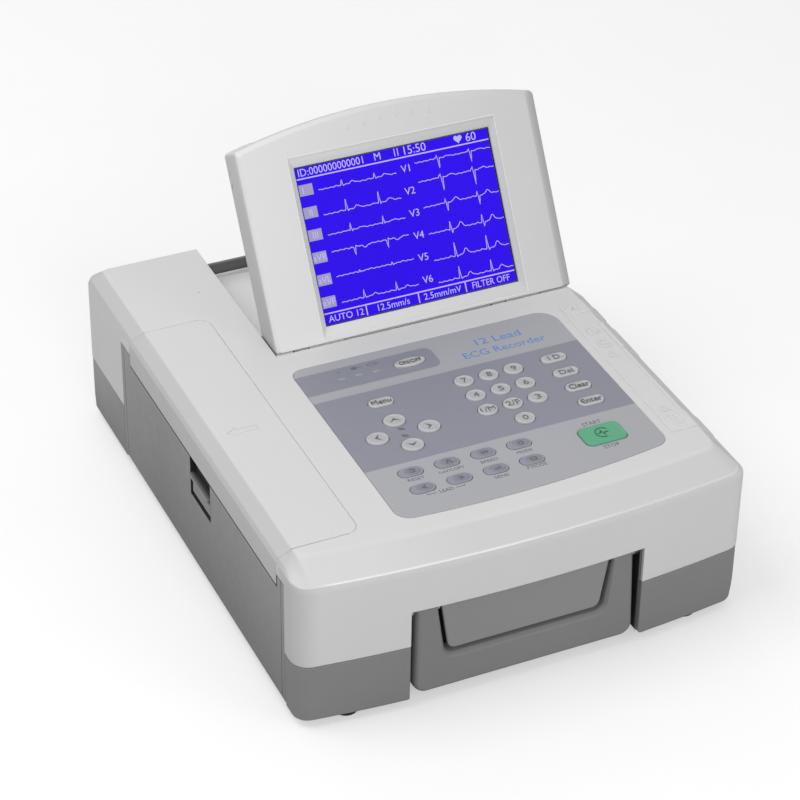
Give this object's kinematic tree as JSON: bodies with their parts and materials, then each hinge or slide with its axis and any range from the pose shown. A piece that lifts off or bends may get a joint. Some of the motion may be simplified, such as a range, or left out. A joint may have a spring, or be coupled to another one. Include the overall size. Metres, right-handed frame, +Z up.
{
  "type": "electrocardiograph",
  "caption": "Portable electrocardiograph with a tilting blue display, numeric key panel, hinged paper door, chart roll and fold-out carry handle.",
  "frame": {"origin": "on the table under the centre of the cabinet, at the bottom of the feet", "axes": "+Z up, -Y the front with the carry handle, -X the paper door's side"},
  "size_m": [0.2664, 0.3306, 0.208],
  "materials": {
    "shell_light": "fine spark-eroded texture, light warm grey",
    "case_grey": "fine texture, mid grey",
    "panel_dark": "matt dark grey",
    "overlay": "satin printed film",
    "key_light": "satin silicone",
    "key_blue": "satin silicone",
    "key_green": "satin silicone",
    "board": "solder mask",
    "screen": "backlit blue display",
    "steel": "bright",
    "supply_case": "plain sheet",
    "rubber": "matt",
    "gear_plastic": "moulded acetal",
    "brass": "machined",
    "head": "glazed heater line on an aluminium bar",
    "paper": "coated thermal chart paper"
  },
  "bodies": {
    "cabinet": {"base_shell": "case_grey", "top_shell": "shell_light", "side_panel": "case_grey", "rear_panel": "panel_dark", "handle_recess_liner": "case_grey", "keypad_overlay": "overlay", "keypad_board": "board", "display_hinge_pin": "steel", "handle_pivot_rod": "steel", "lid_hinge_pin": "steel", "feed_motor": "steel", "thermal_print_head": "head", "main_board": "board", "power_supply": "supply_case", "battery_pack": "supply_case", "battery_door": "case_grey", "patient_socket": "panel_dark", "foot_front_left": "rubber", "foot_front_right": "rubber", "foot_rear_left": "rubber", "foot_rear_right": "rubber"},
    "display": {"display_bezel": "shell_light", "display_back_cover": "shell_light", "lcd_panel": "screen"},
    "handle": {"carry_handle": "case_grey"},
    "door": {"paper_lid": "shell_light"},
    "catch": {"lid_catch": "case_grey"},
    "feed_roller": {"platen_roller": "rubber", "platen_gear": "gear_plastic"},
    "feed_pinion": {"motor_pinion": "brass"},
    "paper": {"paper_roll": "paper"},
    "key_power": {"key_power": "key_light"},
    "key_menu": {"key_menu": "key_light"},
    "key_up": {"key_up": "key_light"},
    "key_right": {"key_right": "key_light"},
    "key_left": {"key_left": "key_light"},
    "key_down": {"key_down": "key_light"},
    "key_7": {"key_7": "key_light"},
    "key_8": {"key_8": "key_light"},
    "key_9": {"key_9": "key_light"},
    "key_4": {"key_4": "key_light"},
    "key_5": {"key_5": "key_light"},
    "key_6": {"key_6": "key_light"},
    "key_1": {"key_1": "key_light"},
    "key_2": {"key_2": "key_light"},
    "key_3": {"key_3": "key_light"},
    "key_0": {"key_0": "key_light"},
    "key_id": {"key_id": "key_light"},
    "key_delete": {"key_delete": "key_light"},
    "key_clear": {"key_clear": "key_light"},
    "key_enter": {"key_enter": "key_light"},
    "key_reset": {"key_reset": "key_blue"},
    "key_copy": {"key_copy": "key_blue"},
    "key_speed": {"key_speed": "key_blue"},
    "key_mode": {"key_mode": "key_blue"},
    "key_lead_back": {"key_lead_back": "key_blue"},
    "key_lead_next": {"key_lead_next": "key_blue"},
    "key_gain": {"key_gain": "key_blue"},
    "key_print": {"key_print": "key_blue"},
    "key_start_stop": {"key_start_stop": "key_green"}
  },
  "joints": [
    {"name": "display_tilt", "type": "hinge", "parent": "cabinet", "child": "display", "pos_m": [0.028, 0.03833, 0.0961], "axis": [1, 0, 0], "range_deg": [-59.5, 10.5]},
    {"name": "handle_swing", "type": "hinge", "parent": "cabinet", "child": "handle", "pos_m": [-0.0018, -0.1545, 0.0574], "axis": [-1, 0, 0], "range_deg": [0, 95]},
    {"name": "door_swing", "type": "hinge", "parent": "cabinet", "child": "door", "pos_m": [-0.0948, -0.0209, 0.0949], "axis": [0, 1, 0], "range_deg": [0, 80]},
    {"name": "catch_slide", "type": "slide", "parent": "cabinet", "child": "catch", "axis": [0, 0, -1], "range_m": [0, 0.004], "stiffness_N_per_m": 400, "springref_m": -0.001},
    {"name": "feed_roller_spin", "type": "hinge", "parent": "cabinet", "child": "feed_roller", "pos_m": [-0.118, -0.0209, 0.082], "axis": [0, 1, 0], "continuous": true},
    {"name": "feed_pinion_spin", "type": "hinge", "parent": "cabinet", "child": "feed_pinion", "pos_m": [-0.10894, 0.0936, 0.07413], "axis": [0, 1, 0], "continuous": true},
    {"name": "paper_roll_spin", "type": "hinge", "parent": "cabinet", "child": "paper", "pos_m": [-0.1055, -0.021, 0.042], "axis": [0, 1, 0], "continuous": true},
    {"name": "key_power_press", "type": "slide", "parent": "cabinet", "child": "key_power", "axis": [0, 0, -1], "range_m": [0, 0.0008], "stiffness_N_per_m": 1500, "springref_m": -0.0004},
    {"name": "key_menu_press", "type": "slide", "parent": "cabinet", "child": "key_menu", "axis": [0, 0, -1], "range_m": [0, 0.0008], "stiffness_N_per_m": 1500, "springref_m": -0.0004},
    {"name": "key_up_press", "type": "slide", "parent": "cabinet", "child": "key_up", "axis": [0, 0, -1], "range_m": [0, 0.0008], "stiffness_N_per_m": 1500, "springref_m": -0.0004},
    {"name": "key_right_press", "type": "slide", "parent": "cabinet", "child": "key_right", "axis": [0, 0, -1], "range_m": [0, 0.0008], "stiffness_N_per_m": 1500, "springref_m": -0.0004},
    {"name": "key_left_press", "type": "slide", "parent": "cabinet", "child": "key_left", "axis": [0, 0, -1], "range_m": [0, 0.0008], "stiffness_N_per_m": 1500, "springref_m": -0.0004},
    {"name": "key_down_press", "type": "slide", "parent": "cabinet", "child": "key_down", "axis": [0, 0, -1], "range_m": [0, 0.0008], "stiffness_N_per_m": 1500, "springref_m": -0.0004},
    {"name": "key_7_press", "type": "slide", "parent": "cabinet", "child": "key_7", "axis": [0, 0, -1], "range_m": [0, 0.0008], "stiffness_N_per_m": 1500, "springref_m": -0.0004},
    {"name": "key_8_press", "type": "slide", "parent": "cabinet", "child": "key_8", "axis": [0, 0, -1], "range_m": [0, 0.0008], "stiffness_N_per_m": 1500, "springref_m": -0.0004},
    {"name": "key_9_press", "type": "slide", "parent": "cabinet", "child": "key_9", "axis": [0, 0, -1], "range_m": [0, 0.0008], "stiffness_N_per_m": 1500, "springref_m": -0.0004},
    {"name": "key_4_press", "type": "slide", "parent": "cabinet", "child": "key_4", "axis": [0, 0, -1], "range_m": [0, 0.0008], "stiffness_N_per_m": 1500, "springref_m": -0.0004},
    {"name": "key_5_press", "type": "slide", "parent": "cabinet", "child": "key_5", "axis": [0, 0, -1], "range_m": [0, 0.0008], "stiffness_N_per_m": 1500, "springref_m": -0.0004},
    {"name": "key_6_press", "type": "slide", "parent": "cabinet", "child": "key_6", "axis": [0, 0, -1], "range_m": [0, 0.0008], "stiffness_N_per_m": 1500, "springref_m": -0.0004},
    {"name": "key_1_press", "type": "slide", "parent": "cabinet", "child": "key_1", "axis": [0, 0, -1], "range_m": [0, 0.0008], "stiffness_N_per_m": 1500, "springref_m": -0.0004},
    {"name": "key_2_press", "type": "slide", "parent": "cabinet", "child": "key_2", "axis": [0, 0, -1], "range_m": [0, 0.0008], "stiffness_N_per_m": 1500, "springref_m": -0.0004},
    {"name": "key_3_press", "type": "slide", "parent": "cabinet", "child": "key_3", "axis": [0, 0, -1], "range_m": [0, 0.0008], "stiffness_N_per_m": 1500, "springref_m": -0.0004},
    {"name": "key_0_press", "type": "slide", "parent": "cabinet", "child": "key_0", "axis": [0, 0, -1], "range_m": [0, 0.0008], "stiffness_N_per_m": 1500, "springref_m": -0.0004},
    {"name": "key_id_press", "type": "slide", "parent": "cabinet", "child": "key_id", "axis": [0, 0, -1], "range_m": [0, 0.0008], "stiffness_N_per_m": 1500, "springref_m": -0.0004},
    {"name": "key_delete_press", "type": "slide", "parent": "cabinet", "child": "key_delete", "axis": [0, 0, -1], "range_m": [0, 0.0008], "stiffness_N_per_m": 1500, "springref_m": -0.0004},
    {"name": "key_clear_press", "type": "slide", "parent": "cabinet", "child": "key_clear", "axis": [0, 0, -1], "range_m": [0, 0.0008], "stiffness_N_per_m": 1500, "springref_m": -0.0004},
    {"name": "key_enter_press", "type": "slide", "parent": "cabinet", "child": "key_enter", "axis": [0, 0, -1], "range_m": [0, 0.0008], "stiffness_N_per_m": 1500, "springref_m": -0.0004},
    {"name": "key_reset_press", "type": "slide", "parent": "cabinet", "child": "key_reset", "axis": [0, 0, -1], "range_m": [0, 0.0008], "stiffness_N_per_m": 1500, "springref_m": -0.0004},
    {"name": "key_copy_press", "type": "slide", "parent": "cabinet", "child": "key_copy", "axis": [0, 0, -1], "range_m": [0, 0.0008], "stiffness_N_per_m": 1500, "springref_m": -0.0004},
    {"name": "key_speed_press", "type": "slide", "parent": "cabinet", "child": "key_speed", "axis": [0, 0, -1], "range_m": [0, 0.0008], "stiffness_N_per_m": 1500, "springref_m": -0.0004},
    {"name": "key_mode_press", "type": "slide", "parent": "cabinet", "child": "key_mode", "axis": [0, 0, -1], "range_m": [0, 0.0008], "stiffness_N_per_m": 1500, "springref_m": -0.0004},
    {"name": "key_lead_back_press", "type": "slide", "parent": "cabinet", "child": "key_lead_back", "axis": [0, 0, -1], "range_m": [0, 0.0008], "stiffness_N_per_m": 1500, "springref_m": -0.0004},
    {"name": "key_lead_next_press", "type": "slide", "parent": "cabinet", "child": "key_lead_next", "axis": [0, 0, -1], "range_m": [0, 0.0008], "stiffness_N_per_m": 1500, "springref_m": -0.0004},
    {"name": "key_gain_press", "type": "slide", "parent": "cabinet", "child": "key_gain", "axis": [0, 0, -1], "range_m": [0, 0.0008], "stiffness_N_per_m": 1500, "springref_m": -0.0004},
    {"name": "key_print_press", "type": "slide", "parent": "cabinet", "child": "key_print", "axis": [0, 0, -1], "range_m": [0, 0.0008], "stiffness_N_per_m": 1500, "springref_m": -0.0004},
    {"name": "key_start_stop_press", "type": "slide", "parent": "cabinet", "child": "key_start_stop", "axis": [0, 0, -1], "range_m": [0, 0.0008], "stiffness_N_per_m": 1500, "springref_m": -0.0004}
  ],
  "couplings": [
    {"joint": "feed_pinion_spin", "follows": "feed_roller_spin", "ratio": -2},
    {"joint": "paper_roll_spin", "follows": "feed_roller_spin", "ratio": -0.28}
  ]
}
